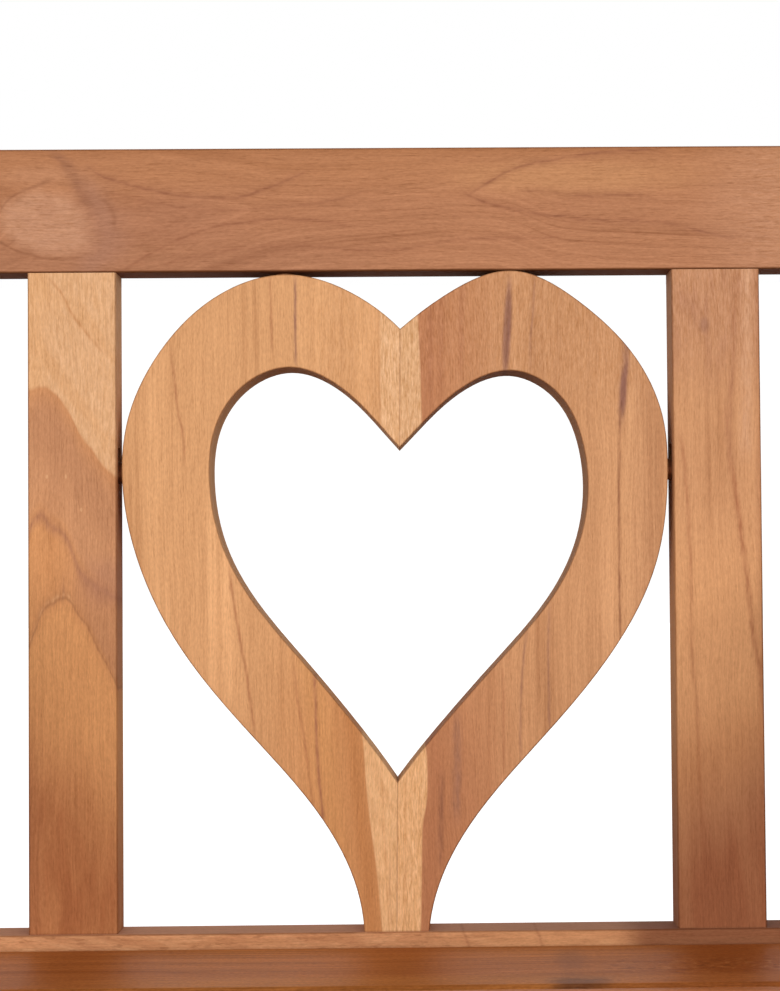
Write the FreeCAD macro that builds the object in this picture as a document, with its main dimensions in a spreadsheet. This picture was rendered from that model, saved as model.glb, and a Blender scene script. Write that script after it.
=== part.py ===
import FreeCAD, Part
import os
import re

import Sketcher
from FreeCAD import Placement, Rotation, Vector

# Garden armchair in solid wood with a heart between two back slats.
# Lengths are millimetres and angles are degrees. The sitter faces -Y, +Z is up and the floor is Z = 0.

SIZES = {
    "overall_width": 620,
    "arm_overhang": 10,
    "fit_gap": 0.15,
    "leg_width": 50,
    "leg_depth": 47,
    "leg_round": 4,
    "rear_rake": 5,
    "knee_drop": 50,
    "knee_round": 90,
    "post_front": 17,
    "post_rise": 9.2,
    "seat_height": 455,
    "seat_slope": 2,
    "seat_slat_count": 6,
    "seat_slat_width": 71.5,
    "seat_slat_gap": 5,
    "seat_slat_thickness": 20,
    "seat_slat_round": 2.5,
    "seat_end_gap": 2,
    "seat_rear_gap": 5,
    "seat_front_reveal": 2,
    "side_rail_thickness": 28,
    "side_rail_height": 60,
    "front_rail_thickness": 28,
    "front_rail_height": 60,
    "front_rail_setback": 8,
    "rear_rail_thickness": 25,
    "rear_rail_height": 55,
    "rear_rail_gap": 8,
    "rear_rail_setback": 30,
    "rail_round": 2,
    "stretcher_level": 150,
    "stretcher_height": 38,
    "stretcher_thickness": 24,
    "arm_height": 660,
    "arm_width": 62,
    "arm_thickness": 26,
    "arm_front_overhang": 12,
    "arm_parallel": 120,
    "arm_rear_inset": 3,
    "arm_nose": 16,
    "arm_round": 5,
    "back_recline": 10,
    "back_opening": 366.5,
    "rail_reveal": 6.7,
    "top_rail_height": 69.3,
    "top_rail_thickness": 28,
    "top_rail_round": 1.5,
    "lower_rail_height": 45,
    "lower_rail_thickness": 32,
    "lower_rail_round": 1.2,
    "back_slat_width": 49.2,
    "back_slat_thickness": 28,
    "back_slat_round": 1.2,
    "back_slat_spread": 408.2,
    "heart_thickness": 38,
    "heart_setback": 4,
    "heart_round": 0.8,
    "heart_side_gap": 3.9,
    "heart_top_gap": 0.2,
    "heart_foot_width": 36,
    "heart_seam_lean": 4.8,
    "tenon_thickness": 12,
    "tenon_length": 25,
    "stub_tenon": 16,
    "tenon_shoulder": 8,
    "side_tenon_drop": 16,
    "mortise_wall": 4,
    "leg_tenon": 30,
    "slat_tenon_width": 33,
    "slat_tenon_length": 18,
    "cross_tenon_length": 12,
    "peg_radius": 4,
    "peg_past": 2,
    "side_peg_radius": 6,
    "side_peg_bite": 20,
    "side_slot_rise": 8,
    "lobe_dowel_radius": 5,
    "lobe_dowel_bite": 20,
    "foot_dowel_radius": 4,
    "foot_dowel_spread": 18,
    "foot_dowel_bite": 20,
    "seam_dowel_radius": 4,
    "seam_dowel_bite": 18,
    "plug_radius": 4.8,
    "plug_depth": 6,
    "screw_radius": 2,
    "screw_head_radius": 4,
    "screw_head_height": 3,
    "screw_length": 44,
    "front_screw_offset": 190,
}

doc = FreeCAD.newDocument("garden_armchair")
sheet = doc.addObject("Spreadsheet::Sheet", "dims")
for row, (name, size) in enumerate(SIZES.items(), start=1):
    sheet.set(f"A{row}", name)
    sheet.set(f"B{row}", str(size))
    sheet.setAlias(f"B{row}", name)
doc.recompute()


def bound(formula):
    """The formula with each size name pointing at its cell."""
    return re.sub(r"[a-z][a-z_]*", lambda word: f"dims.{word[0]}" if word[0] in SIZES else word[0], formula)


def value(formula):
    return float(sheet.evalExpression(bound(formula)))


# Places that follow from the sizes

LEG_OUT = "(overall_width / 2 - arm_overhang)"
LEG_IN = f"({LEG_OUT} - leg_width)"
LEG_MID = f"({LEG_OUT} - leg_width / 2)"
SLAT_COUNT = SIZES["seat_slat_count"]
SEAT_RUN = f"({SLAT_COUNT} * seat_slat_width + {SLAT_COUNT - 1} * seat_slat_gap)"
POST_TOP = "(back_opening + top_rail_height + post_rise)"
POST_REAR = "(leg_depth - post_front)"
BACK_AHEAD = (
    "(seat_rear_gap + lower_rail_thickness / 2 * cos(back_recline) + rail_reveal * sin(back_recline))"
)
FRONT_REACH = f"({SEAT_RUN} * cos(seat_slope) + seat_front_reveal + arm_front_overhang)"
REAR_REACH = (
    f"({BACK_AHEAD} + ({POST_TOP} - leg_round) * sin(back_recline)"
    f" + ({POST_REAR} - leg_round) * cos(back_recline) + leg_round)"
)
FRONT = f"(-({FRONT_REACH} + {REAR_REACH}) / 2)"
SEAT_Y = f"(({FRONT_REACH} - {REAR_REACH}) / 2)"
SEAT_Z = f"(seat_height - {SEAT_RUN} * sin(seat_slope))"
BACK_Y = f"({SEAT_Y} + {BACK_AHEAD})"
BACK_Z = (
    f"({SEAT_Z} - seat_rear_gap * tan(seat_slope) - lower_rail_thickness / 2 * sin(back_recline)"
    " + rail_reveal * cos(back_recline))"
)
KNEE_Y = f"({BACK_Y} - post_front * cos(back_recline) - knee_drop * sin(back_recline))"
KNEE_Z = f"({BACK_Z} + post_front * sin(back_recline) - knee_drop * cos(back_recline))"
FRONT_LEG = f"({FRONT} + arm_front_overhang)"
FRONT_LEG_REAR = f"({FRONT_LEG} + leg_depth)"
ARM_BOTTOM = "(arm_height - arm_thickness)"
HEART_HALF = "(back_slat_spread / 2 - back_slat_width - heart_side_gap)"
HEART_HEIGHT = "(back_opening - heart_top_gap)"

# The back frame leans with the back about the middle of the lower rail's top.
# The seat frame slopes with the seat about the rear top edge of the rearmost slat.
FRAMES = {
    "world": ("0", "0", "0"),
    "back": (BACK_Y, BACK_Z, "back_recline"),
    "seat": (SEAT_Y, SEAT_Z, "seat_slope"),
}


def lower_leg_front(level):
    """Y of a rear leg's front face at a level under the knee."""
    return f"({KNEE_Y} + ({KNEE_Z} - ({level})) * tan(rear_rake))"


def seat_under(depth):
    """Z of the underside of the seat slats at a Y."""
    return f"({SEAT_Z} - seat_slat_thickness / cos(seat_slope) + ({SEAT_Y} - ({depth})) * tan(seat_slope))"


def along_seat(depth):
    """The seat frame's own y of a Y."""
    return f"((({depth}) - {SEAT_Y}) / cos(seat_slope))"


def about(middle, width):
    return (f"{middle} - ({width}) / 2", f"{middle} + ({width}) / 2")


def on_side(side, low, high):
    """A range of x on the right (1), or mirrored to the left (-1)."""
    return (low, high) if side > 0 else (f"-({high})", f"-({low})")


# Building blocks

def place(thing, frame, x, y, z, turn="0"):
    """Bind a thing's place in one of the frames, turned about the X axis."""
    frame_y, frame_z, tilt = FRAMES[frame]
    angle = f"({turn}) - ({tilt})"
    thing.Placement = Placement(Vector(0, 0, 0), Rotation(Vector(1, 0, 0), value(angle) or 1))
    thing.setExpression("Placement.Rotation.Angle", bound(angle))
    thing.setExpression("Placement.Base.x", bound(f"({x}) + 0"))
    thing.setExpression("Placement.Base.y", bound(f"{frame_y} + ({y}) * cos({tilt}) + ({z}) * sin({tilt})"))
    thing.setExpression("Placement.Base.z", bound(f"{frame_z} - ({y}) * sin({tilt}) + ({z}) * cos({tilt})"))


def block(name, x, y, z, frame="world", grow="0"):
    """A plain box between two x, two y and two z, grown on every side."""
    box = doc.addObject("Part::Box", name)
    for side, (low, high) in zip(("Length", "Width", "Height"), (x, y, z)):
        box.setExpression(side, bound(f"({high}) - ({low}) + 2 * ({grow})"))
    place(box, frame, *(f"{low} - ({grow})" for low, high in (x, y, z)))
    return box


def rod(name, axis, start, end, across, radius, frame="world"):
    """A round rod along an axis of its frame. Across gives its two other coordinates in order."""
    cylinder = doc.addObject("Part::Cylinder", name)
    cylinder.setExpression("Radius", bound(radius))
    cylinder.setExpression("Height", bound(f"({end}) - ({start})"))
    spot = list(across)
    spot.insert("xyz".index(axis), start)
    place(cylinder, frame, *spot, turn="-90" if axis == "y" else "0")
    if axis == "x":
        cylinder.setExpression("Placement.Rotation.Angle", None)
        cylinder.Placement.Rotation = Rotation(Vector(0, 1, 0), 90)
    return cylinder


def sketch_on(body, plane, offset):
    sketch = body.newObject("Sketcher::SketchObject", f"{body.Name}_outline")
    support = next(item for item in body.Origin.OriginFeatures if item.Role == plane)
    sketch.AttachmentSupport = [(support, "")]
    sketch.MapMode = "FlatFace"
    sketch.setExpression("AttachmentOffset.Base.z", bound(f"({offset}) + 0"))
    return sketch


def prism(name, plane, points, offset, length, frame="world"):
    """A body padded from a straight-sided outline. It returns the body and its pad."""
    body = doc.addObject("PartDesign::Body", name)
    place(body, frame, "0", "0", "0")
    sketch = sketch_on(body, plane, offset)
    spots = [Vector(value(x), value(y), 0) for x, y in points]
    for start, end in zip(spots, spots[1:] + spots[:1]):
        sketch.addGeometry(Part.LineSegment(start, end))
    for index, (point, spot) in enumerate(zip(points, spots)):
        before = (index - 1) % len(points)
        sketch.addConstraint(Sketcher.Constraint("Coincident", before, 2, index, 1))
        for kind, formula, place_now in zip(("DistanceX", "DistanceY"), point, spot):
            if formula == "0":
                axis = -1 if kind == "DistanceY" else -2
                sketch.addConstraint(Sketcher.Constraint("PointOnObject", index, 1, axis))
                continue
            number = sketch.addConstraint(Sketcher.Constraint(kind, -1, 1, index, 1, place_now))
            sketch.setExpression(f"Constraints[{number}]", bound(f"({formula}) + 0"))
    return body, pad(body, sketch, length)


def pad(body, sketch, length):
    feature = body.newObject("PartDesign::Pad", f"{body.Name}_pad")
    feature.Profile = sketch
    feature.setExpression("Length", bound(length))
    sketch.Visibility = False
    doc.recompute()
    return feature


def rounded(body, feature, radius, wanted):
    """Round the edges of a feature that the test picks."""
    picked = [f"Edge{number}" for number, edge in enumerate(feature.Shape.Edges, start=1) if wanted(edge)]
    fillet = body.newObject("PartDesign::Fillet", f"{body.Name}_round")
    fillet.Base = (feature, picked)
    fillet.setExpression("Radius", bound(radius))
    doc.recompute()
    return fillet


def direction(edge):
    """The axis that a straight edge follows, or nothing."""
    if not isinstance(edge.Curve, Part.Line):
        return None
    run = edge.Vertexes[-1].Point - edge.Vertexes[0].Point
    return next((axis for axis in "xyz" if abs(getattr(run, axis)) > 0.999 * run.Length), None)


def board(name, along, x, y, z, radius, frame="world", ends=False):
    """A straight board with its long edges rounded, and its end edges too where asked."""
    plane, across, (low, high) = {
        "x": ("YZ_Plane", (y, z), x),
        "y": ("XZ_Plane", (x, z), y),
        "z": ("XY_Plane", (x, y), z),
    }[along]
    (left, right), (bottom, top) = across
    corners = [(left, bottom), (right, bottom), (right, top), (left, top)]
    offset = f"-({high})" if along == "y" else low
    body, feature = prism(name, plane, corners, offset, f"({high}) - ({low})", frame)
    rounded(body, feature, radius, lambda edge: ends or direction(edge) == along)
    return body


def joined(name, things):
    """One thing from several. A single thing stays as it is."""
    if len(things) == 1:
        return things[0]
    fusion = doc.addObject("Part::MultiFuse", name)
    fusion.Shapes = things
    return fusion


def without(name, thing, tools):
    """A thing with the tools cut away."""
    if not tools:
        return thing
    cut = doc.addObject("Part::Cut", name)
    cut.Base = thing
    cut.Tool = joined(f"{name}_tools", tools)
    return cut


NODES = {}


def node(label, thing):
    thing.Label = label
    NODES[label] = thing


def group(label, things):
    """One node that holds several loose solids."""
    compound = doc.addObject("Part::Compound", label)
    compound.Links = things
    node(label, compound)


# Every joint adds a tenon or hole to the list of each piece that it touches.
tenons = {}
recesses = {}


def add(table, piece, thing):
    table.setdefault(piece, []).append(thing)


def tenon(piece, host, x, y, z, frame="world"):
    """A tenon of one piece and the mortise for it in the other."""
    add(tenons, piece, block(f"{piece}_tenon", x, y, z, frame))
    add(recesses, host, block(f"{host}_mortise", x, y, z, frame, grow="fit_gap"))


def pin(label, axis, start, end, across, radius, hosts, frame="world"):
    """A peg or dowel, with a hole for it in each piece that it goes through."""
    for host in hosts:
        hole = rod(f"{host}_hole", axis, f"{start} - fit_gap", f"{end} + fit_gap", across,
                   f"{radius} + fit_gap", frame)
        add(recesses, host, hole)
    return rod(f"{label}_pin", axis, start, end, across, radius, frame)


SIDES = {"left": -1, "right": 1}
blanks = {}

# Rear legs, which run up as back posts, with a knee at seat level

TURN = "(1 + cos(back_recline + rear_rake))"
KNEE_REAR_Y = f"({KNEE_Y} + leg_depth * (cos(back_recline) + cos(rear_rake)) / {TURN})"
KNEE_REAR_Z = f"({KNEE_Z} + leg_depth * (sin(rear_rake) - sin(back_recline)) / {TURN})"


def back_spot(y, z):
    return (
        f"{BACK_Y} + ({y}) * cos(back_recline) + ({z}) * sin(back_recline)",
        f"{BACK_Z} - ({y}) * sin(back_recline) + ({z}) * cos(back_recline)",
    )


REAR_LEG = [
    (lower_leg_front("0"), "0"),
    (KNEE_Y, KNEE_Z),
    back_spot("-post_front", POST_TOP),
    back_spot(POST_REAR, POST_TOP),
    (KNEE_REAR_Y, KNEE_REAR_Z),
    (f"{KNEE_REAR_Y} + {KNEE_REAR_Z} * tan(rear_rake)", "0"),
]


def at_knee(edge):
    middle = edge.CenterOfMass
    return direction(edge) == "x" and 0.1 * value(KNEE_Z) < middle.z < 1.3 * value(KNEE_Z)


def off_floor(edge):
    return edge.BoundBox.ZMax > 1 and not (direction(edge) == "x" and at_knee(edge))


for hand, side in SIDES.items():
    name = f"rear_leg_{hand}"
    low, high = on_side(side, LEG_IN, LEG_OUT)
    body, feature = prism(f"{name}_blank", "YZ_Plane", REAR_LEG, low, "leg_width")
    feature = rounded(body, feature, "knee_round", at_knee)
    rounded(body, feature, "leg_round", off_floor)
    blanks[name] = body

# Front legs

for hand, side in SIDES.items():
    name = f"front_leg_{hand}"
    blanks[name] = board(f"{name}_blank", "z", on_side(side, LEG_IN, LEG_OUT),
                         (FRONT_LEG, FRONT_LEG_REAR), ("0", ARM_BOTTOM), "leg_round")
    tenon(name, f"armrest_{hand}",
          about(f"{side} * {LEG_MID}", "leg_tenon"), about(f"({FRONT_LEG} + leg_depth / 2)", "leg_tenon"),
          (f"{ARM_BOTTOM} - 2", f"{ARM_BOTTOM} + stub_tenon"))

# Armrests, tapered to the post and rounded at the nose

ARM_OUT = "(overall_width / 2)"
ARM_IN = "(overall_width / 2 - arm_width)"
ARM_BEND = f"({FRONT} + arm_parallel)"
ARM_POST = f"({KNEE_Y} + (arm_height - {KNEE_Z}) * tan(back_recline))"
ARM_END = f"({ARM_POST} + 0.4 * leg_depth)"
ARM_PLAN = [
    (ARM_IN, FRONT),
    (ARM_OUT, FRONT),
    (ARM_OUT, ARM_BEND),
    (f"({LEG_OUT} - arm_rear_inset)", ARM_END),
    (f"({LEG_IN} + arm_rear_inset)", ARM_END),
    (ARM_IN, ARM_BEND),
]


def at_nose(edge):
    return direction(edge) == "z" and edge.CenterOfMass.y < value(FRONT) + 1


def level(edge):
    return edge.BoundBox.ZLength < 0.01


for hand, side in SIDES.items():
    name = f"armrest_{hand}"
    outline = [(f"{side} * {x}", y) for x, y in ARM_PLAN]
    body, feature = prism(f"{name}_blank", "XY_Plane", outline, ARM_BOTTOM, "arm_thickness")
    feature = rounded(body, feature, "arm_nose", at_nose)
    rounded(body, feature, "arm_round", level)
    blanks[name] = without(f"{name}_trimmed", body, [blanks[f"rear_leg_{hand}"]])
    tenon(name, f"rear_leg_{hand}", about(f"{side} * {LEG_MID}", "leg_tenon"),
          (f"{ARM_POST} - 2 * tenon_shoulder", f"{ARM_POST} + stub_tenon"),
          about(f"({ARM_BOTTOM} + arm_thickness / 2)", "tenon_thickness"))

# Side rails under the ends of the seat slats. Their front tenons stop short of the front rail's pegs.

FRONT_RAIL_Y = f"({FRONT_LEG} + front_rail_setback)"
FRONT_RAIL_REAR = f"({FRONT_RAIL_Y} + front_rail_thickness)"
FRONT_RAIL_MID = f"({FRONT_RAIL_Y} + front_rail_thickness / 2)"
FRONT_PEG_END = f"({FRONT_RAIL_MID} + tenon_thickness / 2 + peg_past)"
SIDE_TOP = "(-seat_slat_thickness)"
SIDE_BOTTOM = f"({SIDE_TOP} - side_rail_height)"
SIDE_FRONT = along_seat(FRONT_LEG_REAR)
SIDE_REAR = along_seat(KNEE_Y)
SIDE_MID = f"({LEG_IN} + side_rail_thickness / 2)"
FRONT_TENON = f"({FRONT_LEG_REAR} - {FRONT_PEG_END} - mortise_wall)"
SIDE_TENON = (f"{SIDE_BOTTOM} + tenon_shoulder", f"{SIDE_TOP} - side_tenon_drop")
SIDE_RAIL_PEG_Z = f"({SIDE_TOP} / 2 + {SIDE_BOTTOM} / 2 - side_tenon_drop / 2 + tenon_shoulder / 2)"

for hand, side in SIDES.items():
    name = f"seat_side_rail_{hand}"
    blank = board(f"{name}_blank", "y", on_side(side, LEG_IN, f"{LEG_IN} + side_rail_thickness"),
                  (f"{SIDE_FRONT} - leg_depth / 2", f"{SIDE_REAR} + leg_depth / 2"), (SIDE_BOTTOM, SIDE_TOP),
                  "rail_round", "seat")
    legs = [blanks[f"front_leg_{hand}"], blanks[f"rear_leg_{hand}"]]
    blanks[name] = without(f"{name}_trimmed", blank, legs)
    wide = about(f"{side} * {SIDE_MID}", "tenon_thickness")
    tenon(name, f"front_leg_{hand}", wide,
          (f"{SIDE_FRONT} - {FRONT_TENON}", f"{SIDE_FRONT} + stub_tenon"), SIDE_TENON, "seat")
    tenon(name, f"rear_leg_{hand}", wide,
          (f"{SIDE_REAR} - stub_tenon", f"{SIDE_REAR} + stub_tenon"), SIDE_TENON, "seat")

# Front seat rail, with its top cut to the slope of the seat

FRONT_RAIL_BOTTOM = f"({seat_under(FRONT_RAIL_REAR)} - front_rail_height)"
FRONT_RAIL_LOW_TOP = seat_under(FRONT_RAIL_REAR)

body, feature = prism("front_seat_rail_blank", "YZ_Plane", [
    (FRONT_RAIL_Y, FRONT_RAIL_BOTTOM),
    (FRONT_RAIL_REAR, FRONT_RAIL_BOTTOM),
    (FRONT_RAIL_REAR, FRONT_RAIL_LOW_TOP),
    (FRONT_RAIL_Y, seat_under(FRONT_RAIL_Y)),
], f"-{LEG_IN}", f"2 * {LEG_IN}")
rounded(body, feature, "rail_round", lambda edge: direction(edge) == "x")
blanks["front_seat_rail"] = body
for hand, side in SIDES.items():
    tenon("front_seat_rail", f"front_leg_{hand}",
          on_side(side, f"{LEG_IN} - 2", f"{LEG_IN} + tenon_length"),
          about(FRONT_RAIL_MID, "tenon_thickness"),
          (f"{FRONT_RAIL_BOTTOM} + tenon_shoulder", f"{FRONT_RAIL_LOW_TOP} - tenon_shoulder"))

# Rear seat rail, between the rear legs under the lower back rail

REAR_RAIL_TOP = (
    f"({BACK_Z} - lower_rail_height * cos(back_recline)"
    " - lower_rail_thickness / 2 * sin(back_recline) - rear_rail_gap)"
)
REAR_RAIL_Z = (f"{REAR_RAIL_TOP} - rear_rail_height", REAR_RAIL_TOP)
REAR_RAIL_MID = f"({lower_leg_front(REAR_RAIL_TOP + ' - rear_rail_height / 2')} + rear_rail_setback)"
blanks["rear_seat_rail"] = board("rear_seat_rail_blank", "x", (f"-{LEG_IN}", LEG_IN),
                                 about(REAR_RAIL_MID, "rear_rail_thickness"), REAR_RAIL_Z, "rail_round")
for hand, side in SIDES.items():
    tenon("rear_seat_rail", f"rear_leg_{hand}",
          on_side(side, f"{LEG_IN} - 2", f"{LEG_IN} + tenon_length"), about(REAR_RAIL_MID, "tenon_thickness"),
          (f"{REAR_RAIL_Z[0]} + tenon_shoulder", f"{REAR_RAIL_Z[1]} - tenon_shoulder"))

# Stretchers between the legs

STRETCHER_Z = about("stretcher_level", "stretcher_height")
STRETCHER_REAR = lower_leg_front("stretcher_level")
STRETCHER_IN = f"({LEG_MID} - stretcher_thickness / 2)"
STRETCHER_MID = f"({FRONT_LEG_REAR} / 2 + {STRETCHER_REAR} / 2)"
STRETCHER_TENON = about("stretcher_level", "stretcher_height - 2 * tenon_shoulder")

for hand, side in SIDES.items():
    name = f"side_stretcher_{hand}"
    blank = board(f"{name}_blank", "y", about(f"{side} * {LEG_MID}", "stretcher_thickness"),
                  (f"{FRONT_LEG_REAR} - leg_depth / 2", f"{STRETCHER_REAR} + leg_depth / 2"),
                  STRETCHER_Z, "rail_round")
    legs = [blanks[f"front_leg_{hand}"], blanks[f"rear_leg_{hand}"]]
    blanks[name] = without(f"{name}_trimmed", blank, legs)
    wide = about(f"{side} * {LEG_MID}", "tenon_thickness")
    tenon(name, f"front_leg_{hand}", wide,
          (f"{FRONT_LEG_REAR} - stub_tenon", f"{FRONT_LEG_REAR} + stub_tenon"), STRETCHER_TENON)
    tenon(name, f"rear_leg_{hand}", wide,
          (f"{STRETCHER_REAR} - stub_tenon", f"{STRETCHER_REAR} + stub_tenon"), STRETCHER_TENON)
    tenon("cross_stretcher", name,
          on_side(side, f"{STRETCHER_IN} - 2", f"{STRETCHER_IN} + cross_tenon_length"),
          about(STRETCHER_MID, "tenon_thickness"), STRETCHER_TENON)

blanks["cross_stretcher"] = board("cross_stretcher_blank", "x", (f"-{STRETCHER_IN}", STRETCHER_IN),
                                  about(STRETCHER_MID, "stretcher_thickness"), STRETCHER_Z, "rail_round")

# Back rails

TOP_RAIL_Z = ("back_opening", "back_opening + top_rail_height")
LOWER_RAIL_Z = ("-lower_rail_height", "0")
RAILS = {"top_back_rail": ("top_rail", TOP_RAIL_Z), "lower_back_rail": ("lower_rail", LOWER_RAIL_Z)}

for name, (size, (low, high)) in RAILS.items():
    blanks[name] = board(f"{name}_blank", "x", (f"-{LEG_IN}", LEG_IN), about("0", f"{size}_thickness"),
                         (low, high), f"{size}_round", "back")
    for hand, side in SIDES.items():
        tenon(name, f"rear_leg_{hand}", on_side(side, f"{LEG_IN} - 2", f"{LEG_IN} + tenon_length"),
              about("0", "tenon_thickness"), (f"{low} + tenon_shoulder", f"{high} - tenon_shoulder"), "back")

# Back slats, tenoned into both back rails

SLAT_MID = "(back_slat_spread / 2 - back_slat_width / 2)"
SLAT_IN = "(back_slat_spread / 2 - back_slat_width)"

for hand, side in SIDES.items():
    name = f"back_slat_{hand}"
    blanks[name] = board(f"{name}_blank", "z", about(f"{side} * {SLAT_MID}", "back_slat_width"),
                         about("0", "back_slat_thickness"), ("0", "back_opening"), "back_slat_round", "back")
    wide = about(f"{side} * {SLAT_MID}", "slat_tenon_width")
    thick = about("0", "tenon_thickness")
    tenon(name, "lower_back_rail", wide, thick, ("-slat_tenon_length", "2"), "back")
    tenon(name, "top_back_rail", wide, thick,
          ("back_opening - 2", "back_opening + slat_tenon_length"), "back")

# Heart halves, each cut by hand. The outlines are in half widths from the seam and in heights from the foot.

OUTER = {
    "left": [
        (0.000, 0.912), (0.169, 0.966), (0.420, 0.996), (0.665, 0.963), (0.879, 0.873), (0.982, 0.781),
        (1.004, 0.674), (0.951, 0.563), (0.810, 0.439), (0.532, 0.295), (0.315, 0.192), (0.184, 0.104),
    ],
    "right": [
        (0.000, 0.912), (0.180, 0.966), (0.420, 1.000), (0.684, 0.950), (0.899, 0.860), (0.987, 0.779),
        (1.005, 0.684), (0.961, 0.556), (0.778, 0.410), (0.546, 0.295), (0.331, 0.195), (0.201, 0.114),
    ],
}
INNER = {
    "left": [
        (0.000, 0.225), (0.155, 0.311), (0.356, 0.411), (0.535, 0.502), (0.643, 0.586), (0.688, 0.688),
        (0.666, 0.764), (0.567, 0.826), (0.399, 0.854), (0.228, 0.827), (0.085, 0.771), (0.000, 0.731),
    ],
    "right": [
        (0.000, 0.225), (0.171, 0.313), (0.376, 0.408), (0.562, 0.498), (0.670, 0.584), (0.703, 0.655),
        (0.686, 0.737), (0.611, 0.804), (0.422, 0.847), (0.241, 0.823), (0.096, 0.772), (0.000, 0.731),
    ],
}
LOBE_AT = 0.42
SIDE_PEG_AT = 0.697
SEAM_STRAIGHT_AT = 0.25


def seam_shift(share):
    """How far the seam stands to the right of the middle, at a share of the heart's height."""
    return value("heart_seam_lean") * (share - SEAM_STRAIGHT_AT)


def heart_spot(side, across, up):
    """A point of the outline. The lean of the seam fades out towards the heart's widest line."""
    half = value(HEART_HALF)
    return Vector(side * across * half + seam_shift(up) * (1 - across), up * value(HEART_HEIGHT), 0)


def curve(spots):
    spline = Part.BSplineCurve()
    spline.interpolate(spots)
    return spline


def on_outline(edge):
    """Whether an edge is a curved one of the front or rear face."""
    return edge.BoundBox.YLength < 0.01 and not isinstance(edge.Curve, Part.Line)


for hand, side in SIDES.items():
    name = f"heart_{hand}"
    foot = side * value("heart_foot_width") / 2 / value(HEART_HALF)
    outer = [heart_spot(side, *share) for share in OUTER[hand]]
    outer.append(heart_spot(side, abs(foot), 0))
    inner = [heart_spot(side, *share) for share in INNER[hand]]
    seam_foot = heart_spot(side, 0, 0)
    body = doc.addObject("PartDesign::Body", f"{name}_blank")
    place(body, "back", "0", "0", "0")
    sketch = sketch_on(body, "XZ_Plane", "-heart_thickness / 2 - heart_setback")
    outline = [
        curve(outer),
        Part.LineSegment(outer[-1], seam_foot),
        Part.LineSegment(seam_foot, inner[0]),
        curve(inner),
        Part.LineSegment(inner[-1], outer[0]),
    ]
    for part in outline:
        sketch.addGeometry(part)
    for index in range(len(outline)):
        before = (index - 1) % len(outline)
        sketch.addConstraint(Sketcher.Constraint("Coincident", before, 2, index, 1))
    feature = pad(body, sketch, "heart_thickness")
    rounded(body, feature, "heart_round", on_outline)
    blanks[name] = body

# Pegs and dowels of the heart

SIDE_PEG_Z = f"({SIDE_PEG_AT} * {HEART_HEIGHT})"
side_pegs = []
lobe_dowels = []
foot_dowels = []
for hand, side in SIDES.items():
    heart = f"heart_{hand}"
    start, end = on_side(side, f"{HEART_HALF} - side_peg_bite", f"{SLAT_IN} + slat_tenon_length")
    side_pegs.append(pin("heart_side", "x", start, end, ("0", SIDE_PEG_Z), "side_peg_radius",
                         [heart], "back"))
    slot_z = (f"{SIDE_PEG_Z} - side_peg_radius - fit_gap", f"{SIDE_PEG_Z} + side_peg_radius + side_slot_rise")
    slot = block(f"back_slat_{hand}_slot", (f"{start} - fit_gap", f"{end} + fit_gap"),
                 about("0", "2 * side_peg_radius + 2 * fit_gap"), slot_z, "back")
    add(recesses, f"back_slat_{hand}", slot)
    lobe_x = f"({side * LOBE_AT} * {HEART_HALF} + {seam_shift(1) * (1 - LOBE_AT):.3f})"
    lobe_z = about("back_opening", "2 * lobe_dowel_bite")
    lobe_dowels.append(pin("heart_lobe", "z", *lobe_z, (lobe_x, "0"), "lobe_dowel_radius",
                           [heart, "top_back_rail"], "back"))
    foot_x = f"({side} * foot_dowel_spread / 2 + {seam_shift(0):.3f})"
    foot_dowels.append(pin("heart_foot", "z", "-foot_dowel_bite", "foot_dowel_bite", (foot_x, "0"),
                           "foot_dowel_radius", [heart, "lower_back_rail"], "back"))

seam_dowels = []
for share in (0.115, 0.18, 0.82, 0.87):
    seam_x = about(f"{seam_shift(share):.3f}", "2 * seam_dowel_bite")
    seam_dowels.append(pin("heart_seam", "x", *seam_x, ("0", f"{share} * {HEART_HEIGHT}"),
                           "seam_dowel_radius", ["heart_left", "heart_right"], "back"))

# Pegs through the tenons

PEG_X = f"({LEG_IN} + tenon_length / 2)"
back_pegs = []
front_pegs = []
side_rail_pegs = []
stretcher_pegs = []
for hand, side in SIDES.items():
    rear_leg = f"rear_leg_{hand}"
    front_leg = f"front_leg_{hand}"
    spots = [
        ("top_back_rail", "back_opening + top_rail_height / 3"),
        ("top_back_rail", "back_opening + 2 * top_rail_height / 3"),
        ("lower_back_rail", "-lower_rail_height / 2"),
    ]
    for rail, height in spots:
        back_pegs.append(pin("back_rail", "y", "-tenon_thickness / 2 - peg_past", POST_REAR,
                             (f"{side} * {PEG_X}", height), "peg_radius", [rear_leg, rail], "back"))
    for share in (0.34, 0.66):
        height = f"{FRONT_RAIL_BOTTOM} + {share} * front_rail_height"
        front_pegs.append(pin("front_rail", "y", FRONT_LEG, FRONT_PEG_END, (f"{side} * {PEG_X}", height),
                              "peg_radius", [front_leg, "front_seat_rail"]))
    rail = f"seat_side_rail_{hand}"
    start, end = on_side(side, f"{SIDE_MID} - tenon_thickness / 2 - peg_past", LEG_OUT)
    for leg, depth in ((front_leg, f"{SIDE_FRONT} - {FRONT_TENON} / 2"),
                       (rear_leg, f"{SIDE_REAR} + stub_tenon / 2")):
        side_rail_pegs.append(pin("side_rail", "x", start, end, (depth, SIDE_RAIL_PEG_Z), "peg_radius",
                                  [leg, rail], "seat"))
    stretcher = f"side_stretcher_{hand}"
    start, end = on_side(side, f"{LEG_MID} - tenon_thickness / 2 - peg_past", LEG_OUT)
    for leg, depth in ((front_leg, f"{FRONT_LEG_REAR} - stub_tenon / 2"),
                       (rear_leg, f"{STRETCHER_REAR} + stub_tenon / 2")):
        stretcher_pegs.append(pin("stretcher", "x", start, end, (depth, "stretcher_level"), "peg_radius",
                                  [leg, stretcher]))

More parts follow.
